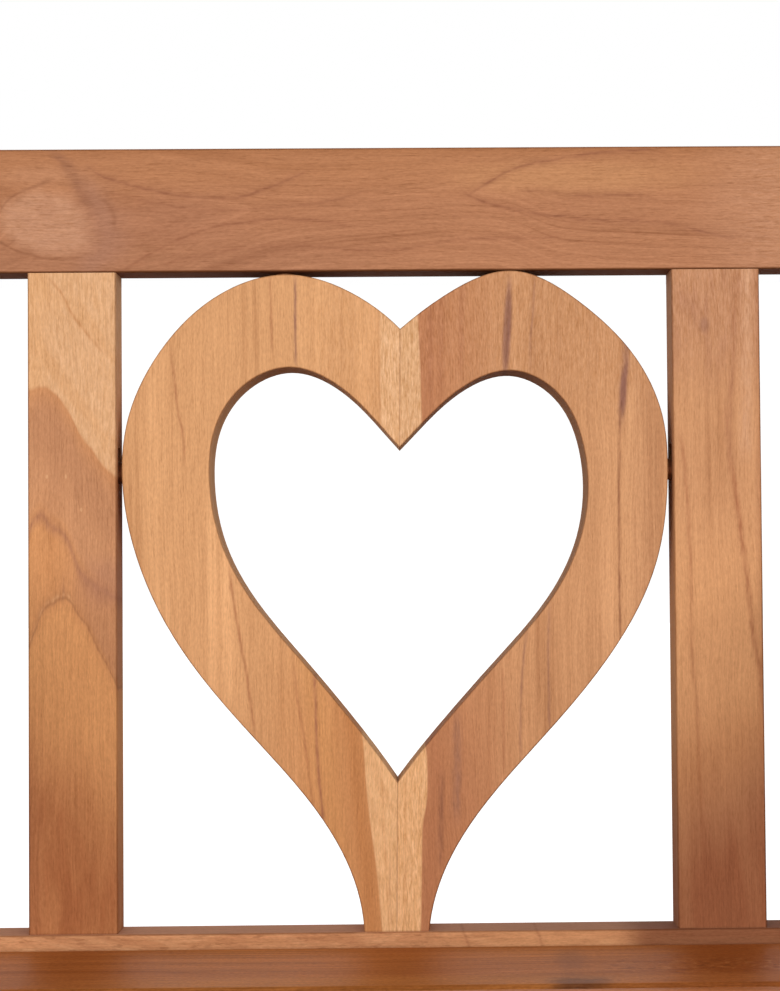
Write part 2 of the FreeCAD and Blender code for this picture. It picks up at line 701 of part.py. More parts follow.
# Seat slats, screwed down under wooden plugs


def screw(label, x, y, top, hosts, frame="world"):
    """A countersunk screw whose head lies under a plug. Every piece it goes through gets its hole."""
    head_top = f"({top} - plug_depth)"
    neck = f"({head_top} - screw_head_height)"
    tip = f"({head_top} - screw_length)"
    head = doc.addObject("Part::Cone", f"{label}_head")
    head.setExpression("Radius1", bound("screw_radius"))
    head.setExpression("Radius2", bound("screw_head_radius"))
    head.setExpression("Height", bound("screw_head_height"))
    place(head, frame, x, y, neck)
    shank = rod(f"{label}_shank", "z", tip, neck, (x, y), "screw_radius", frame)
    for host in hosts:
        pilot = rod(f"{host}_pilot", "z", f"{tip} - fit_gap", top, (x, y), "screw_radius + fit_gap", frame)
        add(recesses, host, pilot)
    bore = rod(f"{hosts[0]}_bore", "z", neck, f"{top} + 1", (x, y), "plug_radius + fit_gap", frame)
    add(recesses, hosts[0], bore)
    plug = rod(f"{label}_plug", "z", head_top, top, (x, y), "plug_radius", frame)
    return joined(f"{label}_screw", [head, shank]), plug


seat_screws = []
seat_plugs = []
for number in range(1, SLAT_COUNT + 1):
    name = f"seat_slat_{number}"
    rear = f"(-{number - 1} * (seat_slat_width + seat_slat_gap))"
    front = f"({rear} - seat_slat_width)"
    foremost = number == SLAT_COUNT
    half = f"({LEG_IN} - seat_end_gap)" if foremost else f"({LEG_IN} + side_rail_thickness)"
    blanks[name] = board(f"{name}_blank", "x", (f"-{half}", half), (front, rear),
                         ("-seat_slat_thickness", "0"), "seat_slat_round", "seat", ends=True)
    if foremost:
        spots = [(f"{share} * front_screw_offset", "front_seat_rail") for share in (-1, 0, 1)]
        depth = along_seat(FRONT_RAIL_MID)
    else:
        spots = [(f"{side} * {SIDE_MID}", f"seat_side_rail_{hand}") for hand, side in SIDES.items()]
        depth = f"({rear} - seat_slat_width / 2)"
    for x, rail in spots:
        made, plug = screw(name, x, depth, "0", [name, rail], "seat")
        seat_screws.append(made)
        seat_plugs.append(plug)

arm_screws = []
arm_plugs = []
for hand, side in SIDES.items():
    made, plug = screw(f"armrest_{hand}", f"{side} * {LEG_MID}", f"({FRONT_LEG} + leg_depth / 2)",
                       "arm_height", [f"armrest_{hand}", f"front_leg_{hand}"])
    arm_screws.append(made)
    arm_plugs.append(plug)

# Each blank gets its tenons and loses its mortises and holes

for name, blank in blanks.items():
    whole = joined(f"{name}_whole", [blank] + tenons.get(name, []))
    node(name, without(f"{name}_cut", whole, recesses.get(name, [])))

group("heart_side_pegs", side_pegs)
group("heart_lobe_dowels", lobe_dowels)
group("heart_foot_dowels", foot_dowels)
group("heart_seam_dowels", seam_dowels)
group("back_rail_pegs", back_pegs)
group("front_rail_pegs", front_pegs)
group("side_rail_pegs", side_rail_pegs)
group("stretcher_pegs", stretcher_pegs)
group("seat_slat_screws", seat_screws)
group("seat_slat_plugs", seat_plugs)
group("arm_screws", arm_screws)
group("arm_plugs", arm_plugs)

doc.recompute()
for thing in doc.Objects:
    if "Invalid" in thing.State or "Error" in thing.State:
        raise RuntimeError(f"{thing.Label} could not be worked out: {thing.State}")
for label, thing in NODES.items():
    if thing.Shape.isNull() or not thing.Shape.isValid() or not thing.Shape.Solids:
        raise RuntimeError(f"{label} is not a sound solid")

os.makedirs("parts", exist_ok=True)
for label, thing in NODES.items():
    thing.Shape.exportStep(f"parts/{label}.step")
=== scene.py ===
import math

import bpy
from mathutils import Matrix, Vector

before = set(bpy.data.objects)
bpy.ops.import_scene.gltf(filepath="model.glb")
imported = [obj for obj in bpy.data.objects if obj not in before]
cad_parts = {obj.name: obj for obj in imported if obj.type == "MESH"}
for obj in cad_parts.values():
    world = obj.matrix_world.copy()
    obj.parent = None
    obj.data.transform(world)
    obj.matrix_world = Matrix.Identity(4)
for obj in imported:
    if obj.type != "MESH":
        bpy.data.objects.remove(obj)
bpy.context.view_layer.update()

# Places of the chair, in metres and degrees. The wood's own sizes below are in millimetres.

BACK_ORIGIN = (0, 0.19173, 0.442801)
BACK_RECLINE = 10
SEAT_ORIGIN = (0, 0.16981, 0.439156)
SEAT_SLOPE = 2
MILLIMETRE = 0.001
WHITE = (1, 1, 1, 1)


# Short calls for shader nodes

# The sockets of a mix node that belong to colours
MIX_SHARE, MIX_FIRST, MIX_SECOND, MIX_RESULT = 0, 6, 7, 2


class Signal:
    """A number in a material that can be used in plain formulas."""

    def __init__(self, graph, socket):
        self.graph = graph
        self.socket = socket

    def __add__(self, other):
        return self.graph.math("ADD", self, other)

    def __sub__(self, other):
        return self.graph.math("SUBTRACT", self, other)

    def __rsub__(self, other):
        return self.graph.math("SUBTRACT", other, self)

    def __mul__(self, other):
        return self.graph.math("MULTIPLY", self, other)

    def __truediv__(self, other):
        return self.graph.math("DIVIDE", self, other)

    def __abs__(self):
        return self.graph.math("ABSOLUTE", self)

    __radd__ = __add__
    __rmul__ = __mul__


class Graph:
    """The nodes of one material."""

    def __init__(self, tree):
        self.tree = tree

    def node(self, kind, **settings):
        made = self.tree.nodes.new(kind)
        for name, value in settings.items():
            setattr(made, name, value)
        return made

    def feed(self, socket, value):
        """Link a signal or set a constant."""
        if isinstance(value, Signal):
            value = value.socket
        if isinstance(value, bpy.types.NodeSocket):
            self.tree.links.new(value, socket)
        else:
            socket.default_value = value

    def math(self, operation, *values):
        made = self.node("ShaderNodeMath", operation=operation)
        for socket, value in zip(made.inputs, values):
            self.feed(socket, value)
        return Signal(self, made.outputs[0])

    def length(self, first, second):
        return self.math("SQRT", first * first + second * second)

    def smooth(self, value, low, high):
        """From 0 at low to 1 at high, with soft ends."""
        made = self.node("ShaderNodeMapRange", interpolation_type="SMOOTHSTEP")
        for name, number in (("Value", value), ("From Min", low), ("From Max", high)):
            self.feed(made.inputs[name], number)
        return Signal(self, made.outputs["Result"])

    def bell(self, value, width):
        """1 where the value is 0, falling to nothing a few widths away."""
        ratio = value / width
        return self.math("EXPONENT", ratio * ratio * -1)

    def curve(self, value, points):
        """A smooth line through a few points."""
        xs = [x for x, y in points]
        ys = [y for x, y in points]
        low, high = min(ys), max(ys)
        span = (high - low) or 1
        reach = xs[-1] - xs[0]
        made = self.node("ShaderNodeFloatCurve")
        mapping = made.mapping
        mapping.use_clip = False
        line = mapping.curves[0]
        places = [((x - xs[0]) / reach, (y - low) / span) for x, y in points]
        line.points[0].location = places[0]
        line.points[1].location = places[-1]
        for place in places[1:-1]:
            line.points.new(*place)
        mapping.update()
        self.feed(made.inputs["Value"], (value - xs[0]) / reach)
        return Signal(self, made.outputs[0]) * span + low

    def vector(self, x, y, z):
        made = self.node("ShaderNodeCombineXYZ")
        for socket, value in zip(made.inputs, (x, y, z)):
            self.feed(socket, value)
        return made.outputs[0]

    def split(self, vector):
        made = self.node("ShaderNodeSeparateXYZ")
        self.feed(made.inputs[0], vector)
        return [Signal(self, socket) for socket in made.outputs]

    def noise(self, vector, detail=2, roughness=0.5):
        """A noise from 0 to 1 whose grain is about one unit of the vector."""
        made = self.node("ShaderNodeTexNoise", noise_dimensions="3D")
        self.feed(made.inputs["Vector"], vector)
        for name, number in (("Scale", 1), ("Detail", detail), ("Roughness", roughness)):
            self.feed(made.inputs[name], number)
        return Signal(self, made.outputs["Fac"])

    def mix(self, share, first, second, blend="MIX"):
        made = self.node("ShaderNodeMix", data_type="RGBA", blend_type=blend)
        for index, value in ((MIX_SHARE, share), (MIX_FIRST, first), (MIX_SECOND, second)):
            self.feed(made.inputs[index], (*value, 1) if isinstance(value, tuple) else value)
        return made.outputs[MIX_RESULT]

    def ramp(self, value, stops):
        """A colour that follows the value through a few stops."""
        made = self.node("ShaderNodeValToRGB")
        made.color_ramp.interpolation = "EASE"
        elements = made.color_ramp.elements
        while len(elements) < len(stops):
            elements.new(0.5)
        for element, (position, colour) in zip(elements, stops):
            element.position = position
            element.color = (*colour, 1)
        self.feed(made.inputs[0], value)
        return made.outputs[0]


def material(name):
    """A new material with its graph and its principled shader."""
    made = bpy.data.materials.new(name)
    made.use_nodes = True
    return made, Graph(made.node_tree), made.node_tree.nodes["Principled BSDF"]


def wear(node, made):
    """Give a CAD node its material."""
    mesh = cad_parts[node].data
    mesh.materials.clear()
    mesh.materials.append(made)


# Solid wood, worked out in each piece's own millimetres

PLACES = {
    "row": ((0, 0, 0), 0),
    "back": (BACK_ORIGIN, BACK_RECLINE),
    "seat": (SEAT_ORIGIN, SEAT_SLOPE),
}
PURPLE = (0.320, 0.145, 0.088)
UMBER = (0.250, 0.092, 0.040)
RUSSET = (0.360, 0.128, 0.054)
HONEY = (0.600, 0.275, 0.105)
SAPWOOD = (0.730, 0.410, 0.205)

# Factors on a wood's middle colour or on its colour so far
DARK_RING = (0.70, 0.62, 0.56)
PALE_RING = (1.24, 1.30, 1.36)
END_GRAIN = (0.55, 0.46, 0.40)
EDGE_TINT = (0.54, 0.47, 0.42)
SIDE_SHADE_TINT = (0.70, 0.64, 0.58)

# How strongly fibres and flecks show in red, green and blue
GRAIN_TINTS = ((0.85, 0.7), (1, 1), (1.15, 1.5))

# Shares of the plain figure and of the grain over it
STREAK_TONE, BAND_TONE, CLOUD_TONE = 1.3, 1.2, 0.5
FIBRE_DEPTH, SPECK_DEPTH, PORE_DEPTH = 0.5, 0.38, 0.13
COARSE_SPECKS, COARSE_PORES, COARSE_CALM, COARSE_FLECKS = 0.15, 0.05, 0.3, 0.8
FIBRE_SWAY = 9

# Steps that keep the noises of one wood, and of two woods, apart
SEED_ALONG, SEED_ACROSS = 7.31, 2.9
SHIFT_ALONG, SHIFT_RING = 3.7, 5.3
SLANT_LAYER = 3.3

# The satin surface
EDGE_STRENGTH = 0.75
SATIN_ROUGHNESS = 0.52
SATIN_SPECULAR = 0.08
SEAT_SPECULAR = 0.063
BUMP_STRENGTH = 0.35
BUMP_DISTANCE = 0.0002


def tinted(colour, factors):
    return tuple(part * factor for part, factor in zip(colour, factors))


class Wood:
    """The wood of one piece: where a point lies in it, and its colour so far."""

    def __init__(self, name, place, axes, seed, middle):
        self.made, self.graph, self.shader = material(name)
        self.seed = seed
        self.middle = middle
        self.sway = 0
        self.coarse = 0
        graph = self.graph
        origin, tilt = PLACES[place]
        turn = (-math.radians(tilt), 0, 0)
        source = graph.node("ShaderNodeTexCoord")
        spot = graph.node("ShaderNodeMapping", vector_type="TEXTURE")
        spot.inputs["Location"].default_value = origin
        spot.inputs["Rotation"].default_value = turn
        spot.inputs["Scale"].default_value = (MILLIMETRE, MILLIMETRE, MILLIMETRE)
        graph.feed(spot.inputs["Vector"], source.outputs["Object"])
        facing = graph.node("ShaderNodeMapping", vector_type="TEXTURE")
        facing.inputs["Rotation"].default_value = turn
        graph.feed(facing.inputs["Vector"], source.outputs["Normal"])
        self.x, self.y, self.z = graph.split(spot.outputs[0])
        spots = dict(zip("xyz", (self.x, self.y, self.z)))
        faces = dict(zip("xyz", (abs(part) for part in graph.split(facing.outputs[0]))))
        self.along, self.across, self.deep = (spots[axis] for axis in axes)
        self.end_face, self.side_face, self.wide_face = (faces[axis] for axis in axes)

    def noise(self, along, across, shift, detail=2, roughness=0.5, ring=None):
        """A noise of so many millimetres along and across the grain, or across the year rings."""
        graph = self.graph
        first = self.along / along + (self.seed * SEED_ALONG + shift * SHIFT_ALONG)
        if ring:
            return graph.noise(graph.vector(first, ring / across, shift * SHIFT_RING), detail, roughness)
        second = (self.across + self.sway) / across + self.seed * SEED_ACROSS
        return graph.noise(graph.vector(first, second, self.deep / across + shift), detail, roughness)

    def swing(self, *size, **settings):
        """The same noise, from -0.5 to 0.5."""
        return self.noise(*size, **settings) - 0.5

    def slanted(self, lean, across, along, detail, roughness):
        """A noise whose grain leans, by the cosine and sine of an angle."""
        cosine, sine = lean
        first = (self.x * cosine + self.z * sine) / across
        second = (self.z * cosine - self.x * sine) / along
        return self.graph.noise(self.graph.vector(first, second, SLANT_LAYER), detail, roughness)

    def rings(self, pith, wander=8):
        """Distance from the heart of the tree, which lies so far across and deep, with some wander."""
        bend = self.swing(300, 70, 9, detail=1) * wander
        return self.graph.length(self.across - pith[0], self.deep - pith[1]) + bend

    def figure(self, ring, streak=1.0, fine=1.0, pores=1.0):
        """The plain figure: streaks that follow the year rings. Fibres and pores come last of all."""
        streaks = self.swing(230, 2.2, 1, 3, 0.55, ring)
        bands = self.swing(700, 12, 2, 1, 0.5, ring)
        clouds = self.swing(110, 34, 3)
        self.sway = self.swing(90, 45, 13, detail=1) * FIBRE_SWAY
        tone = (streaks * STREAK_TONE + bands * BAND_TONE) * streak + clouds * CLOUD_TONE
        self.colour = self.graph.ramp(tone + 0.5, [
            (0.10, tinted(self.middle, DARK_RING)),
            (0.50, self.middle),
            (0.90, tinted(self.middle, PALE_RING)),
        ])
        self.fine = fine
        self.pore_share = pores

    def fibre(self):
        """Long fibres, fine specks and short dark pores, all coarser in sapwood, over the colour so far."""
        graph = self.graph
        self.fibres = self.swing(34, 0.9, 4, 3, 0.6)
        specks = self.swing(2.4, 0.8, 10, 1)
        self.pores = graph.smooth(self.noise(8, 0.55, 5, 1), 0.60, 0.72)
        depth = self.fibres * (FIBRE_DEPTH * self.fine)
        depth = depth + specks * (self.coarse * COARSE_SPECKS + SPECK_DEPTH * self.fine)
        depth = depth - self.pores * (self.coarse * COARSE_PORES + PORE_DEPTH * self.pore_share)
        depth = depth * (1 - graph.math("MINIMUM", self.coarse, 1) * COARSE_CALM)
        flecks = self.swing(6, 0.85, 21, 3, 0.65) * self.coarse * COARSE_FLECKS
        grain = graph.vector(*(depth * fibre + flecks * fleck + 1 for fibre, fleck in GRAIN_TINTS))
        made = graph.node("ShaderNodeVectorMath", operation="MULTIPLY")
        graph.feed(made.inputs[0], self.colour)
        graph.feed(made.inputs[1], grain)
        self.colour = made.outputs[0]

    def paint(self, share, colour):
        self.colour = self.graph.mix(share, self.colour, colour)

    def darken(self, share, factors):
        self.colour = self.graph.mix(share, self.colour, factors, "MULTIPLY")

    def below(self, value, limit, soft):
        """1 where the value is under the limit."""
        return 1 - self.graph.smooth(value, limit - soft, limit + soft)

    def course(self, path, level):
        """The way a line runs, the way across it, and its points in that order."""
        if level:
            return self.x, self.z, sorted(path)
        return self.z, self.x, sorted((z, x) for x, z in path)

    def away(self, path, level=False):
        """How far a point is to the right of an upright line, or above a level one."""
        run, off, points = self.course(path, level)
        return off - self.graph.curve(run, points)

    def line(self, path, width, strength, colour, level=False, fade=8, uneven=0.8):
        """A vein through a few (x, z) points."""
        graph = self.graph
        run, off, points = self.course(path, level)
        start, end = points[0][0], points[-1][0]
        ends = graph.smooth(run, start - fade, start + fade) * self.below(run, end, fade)
        broken = 1 + self.swing(9, 1.6, 6, 1) * 2.4 * uneven
        wobble = self.swing(13, 6, 14) * min(2.6, 1.6 * width)
        wobble = wobble + self.swing(4, 3, 15) * min(1.4, width)
        vein = graph.bell(self.away(path, level) + wobble, width)
        self.paint(vein * ends * broken * strength, colour)

    def lines(self, veins):
        """Veins one after the other, each with the arguments of line."""
        for vein in veins:
            self.line(*vein)

    def ring_edge(self, path, rise, fall, strength, colour):
        """A soft level edge of a year ring: dark at the line, fading over some millimetres to each side."""
        offset = self.away(path, True) + self.swing(16, 9, 16) * 6 + self.swing(5, 3, 17) * 2
        share = self.below(offset, rise / 2, rise / 2) * self.graph.smooth(offset, -fall, 0)
        self.paint(share * (0.75 + self.swing(9, 2, 18)) * strength, colour)

    def patch(self, centre, reach, strength, colour, soft=0.5, ragged=0.5, lean=0):
        """A rounded patch of another colour, which may lean to the right as it rises."""
        rise = self.z - centre[1]
        x = (self.x - rise * lean - centre[0]) / reach[0]
        z = rise / reach[1]
        distance = self.graph.length(x, z) + self.swing(20, 8, 7) * ragged
        self.paint(self.below(distance, 1, soft) * strength, colour)

    def patch_on_top(self, centre, reach, strength, colour):
        """A ragged patch on the upper face of a level board."""
        x = (self.x - centre[0]) / reach[0]
        y = (self.y - centre[1]) / reach[1]
        distance = self.graph.length(x, y) + self.swing(12, 5, 7) * 0.9
        self.paint(self.below(distance, 0.8, 0.5) * strength, colour)

    def joint_shadow_line(self, strength):
        """A dark line of painted shadow where an upright piece stands on the rail below."""
        self.paint(self.below(self.z, 0.6, 0.5) * strength, UMBER)

    def finish(self, end_strength=0.45, side_shade_strength=0, specular=SATIN_SPECULAR):
        """Grain, darker end grain, edges darker by wear and painted shade, sawn inner faces rougher and
        darker by painted shade, and the satin surface.
        """
        graph = self.graph
        self.fibre()
        self.paint(graph.smooth(self.end_face, 0.7, 0.95) * end_strength, tinted(self.middle, END_GRAIN))
        # The rounded edges darker: partly wear, partly painted shade along the outlines.
        edge = self.below(self.wide_face, 0.955, 0.04) * graph.smooth(self.wide_face, 0.1, 0.4)
        worn_and_shaded_edge = edge * (graph.smooth(self.noise(24, 9, 8), 0.3, 0.6) * 0.4 + 0.6)
        self.darken(worn_and_shaded_edge * EDGE_STRENGTH, EDGE_TINT)
        # Painted shade on the side faces, which are also rougher as sawn.
        sawn_and_shaded_side = self.below(self.wide_face, 0.5, 0.3)
        self.darken(sawn_and_shaded_side * side_shade_strength, SIDE_SHADE_TINT)
        rough = self.fibres * 0.22 + self.pores * 0.12 - worn_and_shaded_edge * 0.08 + sawn_and_shaded_side * 0.28 + SATIN_ROUGHNESS
        bump = graph.node("ShaderNodeBump")
        bump.inputs["Strength"].default_value = BUMP_STRENGTH
        bump.inputs["Distance"].default_value = BUMP_DISTANCE
        graph.feed(bump.inputs["Height"], self.fibres - self.pores * 0.8)
        graph.feed(self.shader.inputs["Base Color"], self.colour)
        graph.feed(self.shader.inputs["Roughness"], rough)
        graph.feed(self.shader.inputs["Normal"], bump.outputs[0])
        self.shader.inputs["Specular IOR Level"].default_value = specular
        return self.made


# The photographed pieces of the back. Their (x, z) points are in the back's own millimetres.

# Top rail

RAIL_UNDERSIDE = 366.5
RAIL_AXIS = [(-250, 394), (-150, 394), (-90, 401), (0, 406), (70, 412), (140, 414), (250, 412)]
RAIL_OPENING = [(-250, 36), (-150, 24), (-90, 8), (-40, 0), (40, 0), (100, 17), (150, 20), (250, 24)]
RAIL_VEIN = (0.290, 0.108, 0.052)
RAIL_VEIN_HALO = (0.360, 0.142, 0.068)
RAIL_VEINS = [
    (0.5, [(-168, 424), (-156, 418), (-136, 413), (-115, 409), (-92, 408), (-72, 413), (-52, 421)]),
    (0.45, [(-149, 369), (-130, 380), (-112, 388), (-93, 393), (-60, 396), (-25, 392)]),
    (0.45, [(42, 409), (52, 415), (64, 422), (76, 426), (94, 429), (112, 432), (150, 434)]),
    (0.5, [(42, 409), (52, 404.5), (70, 400), (88, 397.5), (106, 395), (149, 393), (171, 388), (191, 384)]),
    (0.25, [(-160, 412), (-130, 405), (-100, 401), (-60, 403), (-20, 410)]),
    (0.3, [(-128, 371), (-100, 377), (-60, 381), (-10, 378), (40, 384), (90, 385)]),
    (0.35, [(73, 411), (88, 410), (106, 408), (127, 408.5), (142, 407)]),
]
KNOT_BAND = [(-188, 434), (-182, 426), (-177.5, 418.5), (-174.5, 412.5), (-169, 404)]
KNOT_CRACKS = [
    ([(-219, 401), (-213, 409), (-203, 414), (-191, 418)], 1.1, 0.4, UMBER, True, 4),
    ([(-225, 386), (-219, 383.5), (-204, 377), (-190, 374.5), (-175, 375)], 0.9, 0.5, UMBER, True, 5),
    ([(-155.5, 391), (-156, 399), (-163, 408)], 1.6, 0.35, UMBER, False, 4),
]


def rail_knot(wood):
    """How far a point is from the middle of the knot, about 1 at its rim."""
    across = (wood.x + 193 + (wood.z - 396) * 0.22) / 27
    up = (wood.z - 395) / 22
    return wood.graph.length(across, up) + wood.swing(26, 20, 12) * 0.6 + wood.swing(7, 5, 19) * 0.16


def rail_rings(wood, knot):
    """Year rings that open to both ends of the rail and bend round the knot."""
    graph = wood.graph
    off = wood.z - graph.curve(wood.x, RAIL_AXIS)
    flame = graph.math("SQRT", off * off + 6) - graph.curve(wood.x, RAIL_OPENING)
    return flame + wood.swing(160, 40, 9, detail=1) * 5 + graph.bell(knot, 1.2) * 16


def paint_knot(wood, knot):
    """A pale knot with a dark band and a crescent on its right, and thin cracks round it."""
    graph = wood.graph
    pale = wood.below(knot, 0.85, 0.25)
    wood.paint(pale * 0.65, (0.575, 0.294, 0.170))
    wood.coarse = pale * 0.6 + graph.smooth(wood.x, 178, 205) * 0.9
    wood.patch((-197, 421), (18, 5), 0.4, (0.560, 0.268, 0.142), soft=0.7)
    wood.patch((-193, 403), (5, 6), 0.25, (0.420, 0.185, 0.098))
    crescent = graph.bell(knot - 1.2, 0.36) * graph.smooth(wood.x, -184, -166)
    wood.paint(crescent * 0.62, (0.395, 0.184, 0.112))
    wood.line(KNOT_BAND, 4.2, 0.6, (0.310, 0.128, 0.066), fade=4)
    wood.lines(KNOT_CRACKS)


def top_rail():
    wood = Wood("top_back_rail", "back", "xzy", 1, (0.440, 0.188, 0.090))
    graph = wood.graph
    knot = rail_knot(wood)
    wood.figure(rail_rings(wood, knot), streak=0.8, pores=1.3)
    wood.paint(graph.smooth(wood.z, 398, 428) * 0.6, (0.462, 0.196, 0.083))
    wood.paint(wood.below(wood.z, 386, 14) * wood.below(wood.x, -20, 60) * 0.5, (0.385, 0.168, 0.088))
    wood.patch((100, 419), (58, 9), 0.55, (0.560, 0.268, 0.118), soft=0.6)
    wood.patch((-126, 395), (36, 13), 0.65, (0.425, 0.182, 0.094), soft=0.6)
    # Painted shade: a darker band along the top edge of the rail.
    wood.paint(graph.smooth(wood.z, 429, 435.5) * 0.5, (0.360, 0.138, 0.052))
    for strength, path in RAIL_VEINS:
        wood.line(path, 3.0, strength * 0.7, RAIL_VEIN_HALO, level=True)
        wood.line(path, 0.8, strength, RAIL_VEIN, level=True, uneven=1.6)
    paint_knot(wood, knot)
    wood.patch((217, 402), (38, 48), 0.45, (0.545, 0.268, 0.148), soft=0.6)
    # Painted shade: the underside of the rail painted nearly black-brown.
    wood.paint(wood.below(wood.z, RAIL_UNDERSIDE + 0.7, 0.7) * 0.85, (0.145, 0.046, 0.010))
    return wood.finish()


# Left slat: pale sapwood above, two arched year rings, a darker foot

SLAT_SAP_EDGE = [(-206, 300), (-203, 301), (-195, 303.5), (-189, 299), (-181.5, 289.5), (-175.5, 277),
                 (-168, 267), (-161, 257.5), (-152, 250)]
SLAT_SAP_VEIN = [(-192, 363), (-184, 353), (-180, 345), (-174, 336), (-167, 327.5), (-163, 323.5)]
SLAT_ARCH = [(-203.5, 220), (-200, 229.5), (-197.5, 231), (-191.5, 225.5), (-185.5, 222), (-180.5, 213.5),
             (-178, 206.5), (-174.5, 199), (-168.5, 193), (-159, 186.5), (-154, 184)]
SLAT_PEAK = [(-204.1, 158), (-200, 168.5), (-195, 179.5), (-190, 183.5), (-184, 186), (-180.5, 183),
             (-176, 176), (-169.6, 166), (-166, 158.5), (-158, 142.8), (-154, 134)]
SLAT_SPIKE = [(-184.8, 197), (-184.6, 191), (-184.5, 185)]
SLAT_TORN = [(-203.5, 160.5), (-200, 170), (-195, 181), (-190, 185), (-184, 187.5), (-179, 183)]
SLAT_CHIPS = ((-193.5, 253), (-183, 253), (-174.5, 234.5))
LEFT_FOOT = [(-60, 0.82), (30, 0.78), (70, 0.52), (105, 0.16), (135, 0.0), (420, 0.0)]
SLAT_LEAN = (0.81, 0.59)


def left_slat_sapwood(wood):
    """The pale upper end and the darker band under it. Gives the height over the sapwood's edge."""
    graph = wood.graph
    drop = wood.away(SLAT_SAP_EDGE, True) + wood.swing(14, 8, 16) * 3
    pale = graph.smooth(drop, -1.4, 1.8)
    wood.paint(wood.below(abs(drop + 24), 22, 16) * 0.85, (0.490, 0.226, 0.110))
    waves = wood.slanted(SLAT_LEAN, 9, 70, 2, 0.5)
    wood.paint(pale * 0.88, (0.715, 0.408, 0.210))
    wood.paint(pale * graph.smooth(waves, 0.46, 0.68) * 0.5, (0.660, 0.340, 0.150))
    wood.paint(pale * wood.below(wood.x, -194, 6) * 0.4, (0.690, 0.350, 0.145))
    wood.coarse = pale
    wood.line(SLAT_SAP_VEIN, 1.3, 0.7, (0.560, 0.262, 0.108), level=True)
    wood.paint(graph.bell(drop + 62, 8) * graph.smooth(wood.x, -190, -170) * 0.4, (0.500, 0.222, 0.100))
    return drop


def left_slat_arches(wood, drop):
    graph = wood.graph
    over = wood.away(SLAT_ARCH, True)
    under = wood.away(SLAT_PEAK, True)
    wood.paint(graph.smooth(over, 0, 10) * wood.below(drop, -40, 12) * 0.6, (0.535, 0.258, 0.132))
    between = graph.smooth(under, 0, 6) * wood.below(over, 0, 6)
    wood.paint(between * graph.smooth(wood.x, -192, -166) * 0.75, (0.500, 0.226, 0.108))
    wood.ring_edge(SLAT_ARCH, 7, 8, 0.75, (0.385, 0.168, 0.088))
    wood.ring_edge(SLAT_ARCH, 2, 3, 0.35, (0.350, 0.142, 0.078))
    wood.patch((-160, 194), (14, 12), 0.45, (0.410, 0.180, 0.105), soft=0.6)
    inside = wood.below(under, -5, 6) * graph.smooth(wood.z, 50, 120)
    wood.paint(inside * 0.7, (0.705, 0.325, 0.124))
    wood.ring_edge(SLAT_PEAK, 9, 3, 0.6, (0.400, 0.168, 0.074))
    wood.ring_edge(SLAT_PEAK, 1.6, 1.6, 0.25, UMBER)
    wood.line(SLAT_SPIKE, 1, 0.5, (0.360, 0.150, 0.070))
    wood.line(SLAT_TORN, 1.2, 0.2, (0.690, 0.370, 0.175), level=True, fade=3, uneven=3)
    for spot in SLAT_CHIPS:
        wood.patch(spot, (0.6, 1.1), 0.55, SAPWOOD, soft=0.4)


def left_slat():
    wood = Wood("back_slat_left", "back", "zxy", 2, (0.625, 0.280, 0.110))
    graph = wood.graph
    wood.figure(wood.rings((-160, 90), 6), streak=0.4, fine=1.1)
    left_slat_arches(wood, left_slat_sapwood(wood))
    low = graph.curve(wood.z + (wood.x + 180) * 1.1, LEFT_FOOT)
    streaks = wood.swing(60, 12, 11) * 1.9 + wood.swing(40, 2.2, 20) * 0.3
    wood.paint(low * (1 + streaks), (0.376, 0.128, 0.046))
    wood.paint(graph.bell(wood.x + 205, 9) * wood.below(wood.z, 90, 45) * 0.5, (0.300, 0.100, 0.040))
    wood.joint_shadow_line(0.65)
    return wood.finish()


# Right slat: a mottled top, long streaks, a dark foot

RIGHT_STREAK = [(197, 372), (197, 339), (196.5, 300), (195, 262)]
RIGHT_SHADE = [(191.5, 366), (189.4, 329), (188, 300), (186, 282), (187.3, 257)]
RIGHT_VEINS = [
    ([(187.3, 257), (191, 231), (194, 206), (196, 187), (199, 160), (201.5, 144), (204, 120)],
     1.6, 0.6, RUSSET),
    ([(159.5, 272), (162, 244), (163.8, 206), (164.2, 153), (166, 129), (168.3, 70), (171.3, 0)],
     1.2, 0.4, RUSSET),
]
RIGHT_FOOT = [(-60, 1.0), (25, 0.95), (50, 0.8), (75, 0.5), (100, 0.18), (125, 0.0), (420, 0.0)]


def right_slat():
    wood = Wood("back_slat_right", "back", "zxy", 3, (0.600, 0.292, 0.136))
    graph = wood.graph
    wood.figure(wood.rings((240, 60), 6), streak=0.4, fine=0.9, pores=1.1)
    top = graph.smooth(wood.z, 285, 345)
    wood.coarse = top * 1.3
    wood.paint(top * 0.75, (0.500, 0.236, 0.122))
    wood.paint(graph.smooth(wood.noise(34, 8, 22), 0.46, 0.7) * top * 0.6, (0.410, 0.178, 0.094))
    wood.paint(wood.below(abs(wood.z - 160), 55, 40) * 0.7, (0.705, 0.345, 0.152))
    wood.line(RIGHT_STREAK, 3.4, 0.6, (0.640, 0.340, 0.190))
    wood.line(RIGHT_SHADE, 2.4, 0.55, (0.400, 0.168, 0.080))
    wood.paint(graph.smooth(wood.x, 199, 204) * 0.5, (0.400, 0.160, 0.070))
    wood.lines(RIGHT_VEINS)
    wood.patch((173.2, 335), (2.6, 4), 0.6, PURPLE, soft=0.6)
    lift = wood.z - (wood.x - 179) * 0.5
    wood.paint(graph.bell(lift - 95, 28) * 0.35, (0.470, 0.180, 0.058))
    low = graph.curve(lift, RIGHT_FOOT)
    wood.paint(low * (1 + wood.swing(120, 16, 11) * 0.8), (0.285, 0.096, 0.040))
    wood.joint_shadow_line(0.65)
    return wood.finish()


# Heart: two halves with sapwood along the seam, in the cleft and down the stem

